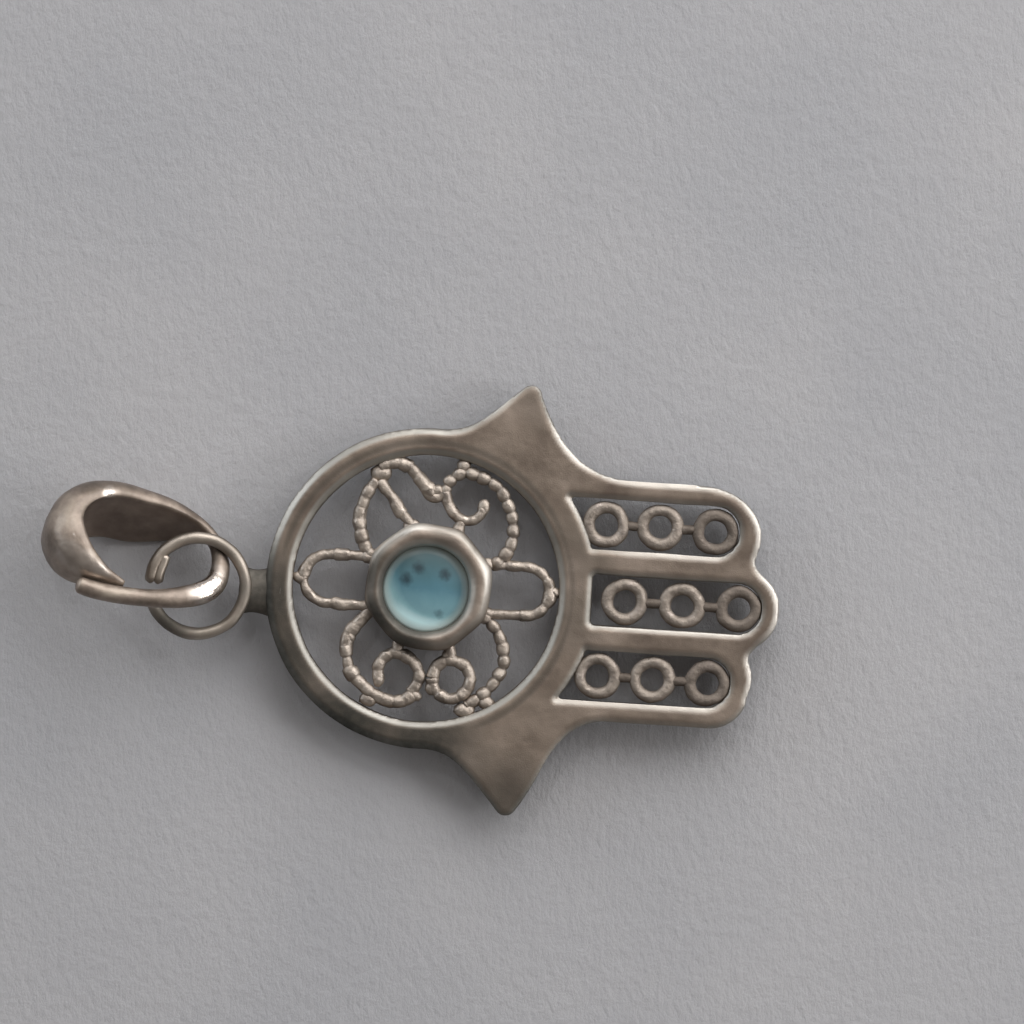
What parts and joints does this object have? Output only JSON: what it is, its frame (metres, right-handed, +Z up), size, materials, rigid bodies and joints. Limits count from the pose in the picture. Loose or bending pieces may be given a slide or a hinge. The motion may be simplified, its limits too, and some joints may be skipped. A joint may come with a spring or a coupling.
{
  "type": "hand pendant",
  "caption": "Hand-shaped filigree pendant with a round cabochon and a tapered bail, lying on its back with the bail tipped over.",
  "frame": {"origin": "middle of the setting's flat back, on the surface the pendant lies on", "axes": "+X towards the fingertips along the hand, +Z up through the stone, +Y towards the upper thumb"},
  "size_m": [0.0337, 0.0196, 0.0049],
  "materials": {
    "cast_silver": "cast silver, satin, tarnished dark in the recesses",
    "polished_silver": "polished silver, warm tarnish",
    "cabochon": "polished"
  },
  "bodies": {
    "root": {"hand": "cast_silver", "stone": "cabochon", "bail": "polished_silver"}
  },
  "joints": []
}
